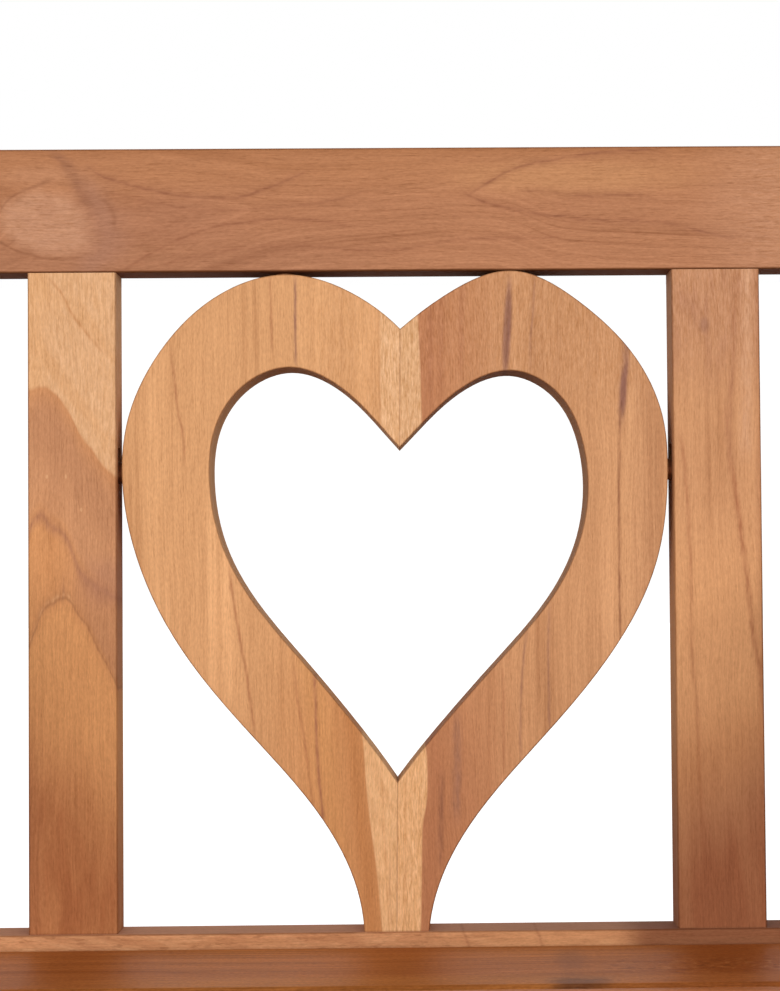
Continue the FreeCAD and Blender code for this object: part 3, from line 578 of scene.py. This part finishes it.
SEAM = ([(-1.2, -4), (3.6, 370)], 0.35, 0.45, UMBER, False, 8, 0.4)
LEFT_SAP_EDGE = [(-20.5, 115), (-18.9, 103), (-17.4, 80), (-14.8, 55), (-12.2, 35), (-9, -2)]
LEFT_HEART_LEAN = (0.9, 0.44)
LEFT_HEART_VEINS = [
    ([(-9.5, 104), (-8, 60), (-5, -2)], 0.6, 0.4, HONEY),
    ([(-4.5, 40), (-4.6, 20), (-3.5, -2)], 0.5, 0.25, RUSSET),
    SEAM,
    ([(-69.3, 364), (-68.8, 348), (-68.3, 325)], 0.7, 0.5, RUSSET),
    ([(-55.3, 364), (-54.9, 348), (-55.5, 333), (-54.5, 314)], 0.9, 0.65, PURPLE),
    ([(-124, 320), (-122.4, 304), (-120.8, 289), (-118, 274), (-117.5, 262)], 0.8, 0.4, RUSSET),
    ([(-92.5, 200), (-89.3, 177), (-86.6, 160), (-83.4, 143), (-79, 110)], 0.9, 0.55, RUSSET),
    ([(-56.8, 146), (-54.7, 126), (-51.5, 106), (-47, 70)], 0.8, 0.45, RUSSET),
    ([(-45.7, 144), (-45.3, 126), (-44.9, 108), (-43.9, 89), (-41, 58)], 1.0, 0.65, (0.350, 0.132, 0.068)),
]


def heart_left():
    wood = Wood("heart_left", "back", "zxy", 4, (0.662, 0.334, 0.148))
    graph = wood.graph
    wood.figure(wood.rings((160, 220), 5), streak=0.55)
    sap = wood.away(LEFT_SAP_EDGE)
    foot = wood.below(wood.z, 200, 40)
    wood.paint(wood.below(wood.z, 150, 40) * graph.smooth(wood.x, -85, -40) * 0.7, (0.580, 0.248, 0.090))
    wood.paint(graph.bell(sap + 22, 8) * foot * 0.4, (0.650, 0.310, 0.110))
    wood.paint(graph.bell(sap + 5, 5) * foot * 0.65, (0.500, 0.200, 0.066))
    stem = graph.smooth(sap, -0.6, 0.8) * foot
    cleft = graph.smooth(wood.x, -9, -7) * (1 - foot)
    wood.paint(stem * 0.85, tinted(SAPWOOD, (1.15, 1.20, 1.18)))
    waves = wood.slanted(LEFT_HEART_LEAN, 5, 34, 3, 0.55)
    wood.paint(stem * graph.smooth(waves, 0.48, 0.64) * 0.5, (0.690, 0.365, 0.165))
    wood.paint(cleft * 0.8, tinted(SAPWOOD, (1.02, 1.04, 1.06)))
    side = graph.smooth(wood.x, -60, -30) * (1 - foot) * (1 - cleft)
    wood.coarse = stem + cleft * 1.8 + side * 0.8
    wood.lines(LEFT_HEART_VEINS)
    wood.joint_shadow_line(0.4)
    # Painted shade on the side faces, lighter than on the right half.
    return wood.finish(side_shade_strength=0.4)


STEM_SAP_EDGE = [(14.9, 104), (16.4, 82), (13.4, 56), (12.6, 20), (12, -2)]
CLEFT_SAP_EDGE = [(12.8, 345), (14, 317), (14.8, 280)]
SPINDLE_CORE = [(63.9, 360), (64.2, 340), (63, 326), (62, 314)]
LOBE_STRANDS = ((20, 295), (26, 298), (37, 310))
OUTER_PALE = [(131.5, 300), (130, 266), (129, 228), (129, 160)]
OUTER_STREAK = [(128.5, 330), (128.9, 316), (127.7, 305), (127, 295), (125.7, 282)]
RIGHT_HEART_VEINS = [
    ([(126, 290), (124.7, 266), (124.3, 228), (124, 202), (124.4, 160)], 0.8, 0.6, UMBER),
    ([(85, 178), (84.2, 147), (84.4, 110)], 0.8, 0.55, PURPLE),
    ([(72.1, 165), (69, 133), (68.1, 95)], 0.8, 0.5, PURPLE),
    ([(58.6, 144), (58.9, 125), (58.6, 88)], 0.8, 0.4, RUSSET),
    ([(33.3, 118), (32.3, 62)], 2.4, 0.6, PURPLE),
    ([(24.7, 86), (23.3, 38)], 1.5, 0.65, (0.270, 0.105, 0.056)),
]


def heart_right_tones(wood):
    """A paler flank, a browner side along the seam."""
    graph = wood.graph
    wood.paint(graph.smooth(wood.z, 270, 320) * 0.6, (0.535, 0.256, 0.117))
    wood.paint(graph.bell(wood.x - 106, 13) * 0.4, (0.550, 0.265, 0.120))
    wood.paint(graph.smooth(wood.x, 126, 134) * 0.3, (0.610, 0.305, 0.150))
    wood.paint(wood.below(wood.x, 50, 22) * 0.7, (0.482, 0.198, 0.088))
    wood.paint(graph.bell(wood.x - 18, 9) * graph.smooth(wood.z, 240, 260) * 0.6, (0.450, 0.178, 0.080))
    low = wood.below(wood.z, 110, 50) * wood.below(wood.x, 60, 25)
    wood.paint(low * 0.42, (0.440, 0.166, 0.075))


def heart_right_sapwood(wood):
    graph = wood.graph
    foot = wood.below(wood.z, 200, 40)
    sap_low = wood.away(STEM_SAP_EDGE)
    stem = wood.below(sap_low, 0, 0.7) * foot
    cleft = wood.below(wood.away(CLEFT_SAP_EDGE), 0, 0.7) * (1 - foot)
    wood.paint(graph.bell(sap_low - 5, 4) * foot * 0.25, (0.400, 0.144, 0.064))
    wood.paint(stem * 0.87, tinted(SAPWOOD, (1.15, 1.17, 1.12)))
    wood.paint(stem * graph.smooth(wood.noise(55, 1.7, 23), 0.48, 0.62) * 0.5, (0.690, 0.360, 0.150))
    wood.paint(cleft * 0.8, tinted(SAPWOOD, (1.0, 1.03, 1.03)))
    wood.coarse = stem * 1.5 + cleft * 1.7 + graph.smooth(wood.z, 270, 320) * (1 - cleft) * 1.2
    wood.line([(4.5, 100), (4, 50), (3, -2)], 0.6, 0.35, HONEY)
    wood.line(*SEAM)


def heart_right_streaks(wood):
    """Purple streaks on the lobe, the outer edge and the stem."""
    wood.patch((62.8, 333), (2.3, 25), 0.95, PURPLE, soft=0.45, ragged=0.3, lean=0.055)
    wood.line(SPINDLE_CORE, 0.9, 0.6, (0.230, 0.092, 0.062), uneven=1.2)
    for x, low_end in LOBE_STRANDS:
        wood.line([(x + 1.5, 362), (x, 330), (x - 0.5, low_end)], 1.6, 0.35, (0.385, 0.148, 0.070))
    wood.line([(78.5, 362), (77.3, 345), (76, 329), (75.3, 312)], 0.8, 0.4, PURPLE)
    wood.line(OUTER_PALE, 2.6, 0.5, (0.690, 0.352, 0.168))
    wood.line(OUTER_STREAK, 1.9, 0.9, PURPLE, fade=10, uneven=0.5)
    wood.patch((127.4, 300), (1.7, 12), 0.8, (0.265, 0.112, 0.078), ragged=0.3, lean=0.05)
    wood.lines(RIGHT_HEART_VEINS)


def heart_right():
    wood = Wood("heart_right", "back", "zxy", 5, (0.600, 0.294, 0.136))
    wood.figure(wood.rings((-160, 240), 4), streak=0.7)
    heart_right_tones(wood)
    heart_right_sapwood(wood)
    heart_right_streaks(wood)
    wood.joint_shadow_line(0.4)
    # Painted shade on the side faces, deeper than on the left half.
    return wood.finish(side_shade_strength=0.9)


def lower_rail():
    """Short flecks and slanted marks, greyer on top, dark at its right end."""
    wood = Wood("lower_back_rail", "back", "xzy", 6, (0.560, 0.248, 0.110))
    graph = wood.graph
    wood.figure(wood.rings((-40, 30)), streak=0.9)
    flecks = graph.smooth(wood.noise(11, 2.6, 15, 3, 0.6), 0.54, 0.66)
    wood.paint(flecks * 0.65, (0.370, 0.142, 0.058))
    wood.paint(graph.smooth(wood.noise(17, 3.5, 16), 0.56, 0.66) * 0.4, (0.690, 0.340, 0.160))
    slanted = graph.noise(graph.vector((wood.x + wood.z * 2.2) / 16, wood.z / 7, 4.1), 3, 0.6)
    wood.paint(graph.smooth(slanted, 0.5, 0.66) * 0.45, (0.680, 0.340, 0.165))
    wood.paint(wood.below(slanted, 0.42, 0.06) * 0.4, (0.430, 0.174, 0.076))
    wood.paint(graph.bell(wood.x - 85, 50) * 0.5, (0.690, 0.335, 0.152))
    upper = graph.smooth(wood.side_face, 0.7, 0.95)
    wood.paint(upper * 0.9, (0.600, 0.284, 0.160))
    wood.paint(upper * graph.smooth(wood.x, 10, 100) * 0.6, (0.440, 0.196, 0.106))
    wood.paint(graph.smooth(wood.x, 118, 140) * 0.9, (0.245, 0.084, 0.036))
    wood.line([(34, 2), (37.7, -5), (40, -14)], 1.0, 0.5, RUSSET)
    wood.line([(75, 2), (78, -5), (80, -14)], 1.0, 0.45, RUSSET)
    return wood.finish()


# Seat slats with a figure of their own

# Painted shade and painted reflections under the uprights of the back: middle and reach across the slat,
# and strength.
UPRIGHT_SHADE_AND_REFLECTIONS = ((-172, 34, 0.5), (4, 24, 0.5), (180, 46, 0.9))


def rear_seat_slat():
    """The slat in the photograph, darker below the uprights of the back by painted shade and painted
    reflections of them, with a painted highlight along its front and a knot to the right.
    """
    wood = Wood("seat_slat_1", "seat", "xyz", 27, (0.432, 0.140, 0.034))
    graph = wood.graph
    wood.figure(wood.rings((-66, -58), 14), streak=1.2, fine=2.0)
    # Painted highlight: a lighter strip along the front of the slat, over its middle.
    front = wood.below(wood.y, -55, 6)
    wood.paint(front * wood.below(abs(wood.x + 12), 130, 50) * 0.6, (0.560, 0.212, 0.050))
    # Painted shade and painted reflections of the left slat, the heart's foot and the right slat, weaker
    # along the front.
    for centre, reach, strength in UPRIGHT_SHADE_AND_REFLECTIONS:
        shade_and_reflection = graph.bell(wood.x - centre, reach) * (1 - front * 0.5)
        wood.paint(shade_and_reflection * strength, (0.300, 0.078, 0.016))
    strip = graph.bell(wood.y + 40, 13) * graph.smooth(wood.x, 95, 125)
    waves = wood.noise(7, 4, 24, 3, 0.6)
    wood.paint(strip * graph.smooth(waves, 0.53, 0.64) * 0.6, (0.170, 0.048, 0.012))
    wood.paint(strip * wood.below(waves, 0.43, 0.05) * 0.5, (0.500, 0.190, 0.060))
    wood.patch_on_top((93, -28), (10, 24), 0.4, (0.230, 0.078, 0.026))
    wood.patch_on_top((94, -67), (19, 11), 0.75, (0.140, 0.052, 0.024))
    return wood.finish(specular=SEAT_SPECULAR)


def second_seat_slat():
    wood = Wood("seat_slat_2", "seat", "xyz", 28, (0.480, 0.160, 0.050))
    wood.figure(wood.rings((-153, -66), 14), streak=1.1)
    wood.paint(wood.graph.bell(wood.x + 40, 90) * 0.7, (0.640, 0.240, 0.082))
    return wood.finish()


OWN_FIGURE = {
    "top_back_rail": top_rail,
    "lower_back_rail": lower_rail,
    "back_slat_left": left_slat,
    "back_slat_right": right_slat,
    "heart_left": heart_left,
    "heart_right": heart_right,
    "seat_slat_1": rear_seat_slat,
    "seat_slat_2": second_seat_slat,
}

# The other boards: the frame they lie in, their axes along, across and deep, and where the tree's heart lay

TEAK = (0.500, 0.222, 0.102)
SEAT_TEAK = (0.480, 0.155, 0.046)
SEAT_PITCH = 76
BOARDS = {
    "rear_leg_left": ("row", "zyx", (260, -330)),
    "rear_leg_right": ("row", "zyx", (150, 320)),
    "front_leg_left": ("row", "zxy", (-240, -230)),
    "front_leg_right": ("row", "zxy", (320, -330)),
    "armrest_left": ("row", "yxz", (-260, 610)),
    "armrest_right": ("row", "yxz", (300, 600)),
    "seat_side_rail_left": ("seat", "yzx", (-60, -220)),
    "seat_side_rail_right": ("seat", "yzx", (-30, 330)),
    "front_seat_rail": ("row", "xzy", (400, -230)),
    "rear_seat_rail": ("row", "xzy", (380, 160)),
    "side_stretcher_left": ("row", "yzx", (140, -240)),
    "side_stretcher_right": ("row", "yzx", (170, 320)),
    "cross_stretcher": ("row", "xzy", (160, 60)),
}
for number in range(3, 7):
    seat_pith = (30 - SEAT_PITCH * number + 20 * (number % 3), -50 - 8 * (number % 4))
    BOARDS[f"seat_slat_{number}"] = ("seat", "xyz", seat_pith)


def board(name, seed):
    """A plain board, a little darker or paler than the next."""
    place, axes, pith = BOARDS[name]
    depth = 1 + 0.07 * math.sin(2.4 * seed)
    middle = SEAT_TEAK if place == "seat" else TEAK
    wood = Wood(name, place, axes, seed, tinted(middle, (depth, depth * depth, depth * depth)))
    wood.figure(wood.rings(pith, 14), streak=0.9)
    return wood.finish()


def peg_wood():
    wood = Wood("peg_wood", "row", "zxy", 40, (0.430, 0.180, 0.078))
    wood.figure(wood.rings((90, 40), 6))
    return wood.finish(end_strength=0)


STEEL_GRAIN = (9000, 9000, 300)
STEEL_STOPS = [(0.2, (0.42, 0.42, 0.41)), (0.8, (0.62, 0.61, 0.59))]


def screw_steel():
    made, graph, shader = material("screw_steel")
    source = graph.node("ShaderNodeTexCoord")
    stretch = graph.node("ShaderNodeMapping", vector_type="POINT")
    stretch.inputs["Scale"].default_value = STEEL_GRAIN
    graph.feed(stretch.inputs["Vector"], source.outputs["Object"])
    brushed = graph.noise(stretch.outputs[0], 3, 0.6)
    graph.feed(shader.inputs["Base Color"], graph.ramp(brushed, STEEL_STOPS))
    graph.feed(shader.inputs["Roughness"], brushed * 0.25 + 0.25)
    shader.inputs["Metallic"].default_value = 1
    return made


def dress():
    pegs = peg_wood()
    steel = screw_steel()
    for seed, name in enumerate(sorted(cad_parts), start=10):
        if name in OWN_FIGURE:
            wear(name, OWN_FIGURE[name]())
        elif name in BOARDS:
            wear(name, board(name, seed))
        else:
            wear(name, steel if name.endswith("screws") else pegs)


dress()


# Stage, lamps and camera

FLOOR_SIZE = 30
FLOOR_COLOUR = (0.15, 0.145, 0.14)
FLOOR_SEEN = (0.36, 0.355, 0.35)
FLOOR_NEAR, FLOOR_FAR = 0.68, 0.97
NEAR_RADIUS, FAR_RADIUS = 0.8, 1.5
AMBIENT = 0.31
WHITE_RAYS = ("Is Camera Ray", "Is Glossy Ray", "Is Transmission Ray")


def white_share(graph):
    """1 for the rays that show the background: seen straight, in a reflection or through glass."""
    path = graph.node("ShaderNodeLightPath")
    straight, mirrored, through = (Signal(graph, path.outputs[name]) for name in WHITE_RAYS)
    return graph.math("MAXIMUM", graph.math("MAXIMUM", straight, mirrored), through)


def floor_paper():
    """Pale paper that turns white away from the chair and keeps the chair's shadow."""
    made, graph, shader = material("floor_paper")
    graph.feed(shader.inputs["Base Color"], graph.mix(white_share(graph), FLOOR_COLOUR, FLOOR_SEEN))
    shader.inputs["Roughness"].default_value = 0.9
    shader.inputs["Specular IOR Level"].default_value = 0
    shader.inputs["Emission Color"].default_value = WHITE
    x, y, z = graph.split(graph.node("ShaderNodeTexCoord").outputs["Object"])
    far = graph.smooth(graph.length(x, y), NEAR_RADIUS, FAR_RADIUS)
    glow = far * (FLOOR_FAR - FLOOR_NEAR) + FLOOR_NEAR
    graph.feed(shader.inputs["Emission Strength"], white_share(graph) * glow)
    return made


def make_floor():
    mesh = bpy.data.meshes.new("floor")
    half = FLOOR_SIZE / 2
    corners = [(-half, -half, 0), (half, -half, 0), (half, half, 0), (-half, half, 0)]
    mesh.from_pydata(corners, [], [(0, 1, 2, 3)])
    floor = bpy.data.objects.new("floor", mesh)
    bpy.context.scene.collection.objects.link(floor)
    mesh.materials.append(floor_paper())


def make_world():
    world = bpy.data.worlds.new("studio")
    bpy.context.scene.world = world
    world.use_nodes = True
    graph = Graph(world.node_tree)
    ambient = world.node_tree.nodes["Background"]
    ambient.inputs["Color"].default_value = WHITE
    ambient.inputs["Strength"].default_value = AMBIENT
    white = graph.node("ShaderNodeBackground")
    white.inputs["Color"].default_value = WHITE
    white.inputs["Strength"].default_value = 1
    either = graph.node("ShaderNodeMixShader")
    graph.feed(either.inputs[0], white_share(graph))
    graph.feed(either.inputs[1], ambient.outputs[0])
    graph.feed(either.inputs[2], white.outputs[0])
    graph.feed(world.node_tree.nodes["World Output"].inputs["Surface"], either.outputs[0])


LAMP_AIM = Vector((0, 0.2, 0.62))
LAMPS = {
    "key_left": {"spot": (-1.25, -2.5, 1.55), "size": 1.5, "power": 45},
    "key_right": {"spot": (1.25, -2.5, 1.55), "size": 1.5, "power": 45},
    "rear_card": {"spot": (0, 3.2, 1.0), "size": 3.0, "power": 20},
}


def make_lamps():
    for name, lamp in LAMPS.items():
        light = bpy.data.lights.new(name, "AREA")
        light.shape = "DISK"
        light.size = lamp["size"]
        light.energy = lamp["power"]
        made = bpy.data.objects.new(name, light)
        made.location = lamp["spot"]
        ahead = LAMP_AIM - Vector(lamp["spot"])
        made.rotation_euler = ahead.to_track_quat("-Z", "Y").to_euler()
        bpy.context.scene.collection.objects.link(made)


CAMERA_SPOT = (0.0049680, -1.1121475, 0.8706491)
CAMERA_TURN = Vector((0.1403, -0.0168, -0.0063))
FOCAL_PIXELS = 2417.5
IMAGE_HEIGHT = 991
SENSOR = 36
LENS_SHIFT = -0.0545
CLIP_START = 0.05
FACING_BACK = Matrix(((1, 0, 0), (0, 0, -1), (0, 1, 0)))


def make_camera():
    data = bpy.data.cameras.new("camera")
    data.sensor_width = SENSOR
    data.lens = SENSOR * FOCAL_PIXELS / IMAGE_HEIGHT
    data.shift_x = LENS_SHIFT
    data.clip_start = CLIP_START
    camera = bpy.data.objects.new("camera", data)
    bpy.context.scene.collection.objects.link(camera)
    view = Matrix.Rotation(CAMERA_TURN.length, 3, CAMERA_TURN.normalized()) @ FACING_BACK
    right, down, ahead = view.transposed().col
    camera.matrix_world = Matrix((
        (right.x, -down.x, -ahead.x, CAMERA_SPOT[0]),
        (right.y, -down.y, -ahead.y, CAMERA_SPOT[1]),
        (right.z, -down.z, -ahead.z, CAMERA_SPOT[2]),
        (0, 0, 0, 1),
    ))
    bpy.context.scene.camera = camera


make_floor()
make_world()
make_lamps()
make_camera()
bpy.context.scene.view_settings.view_transform = "Standard"
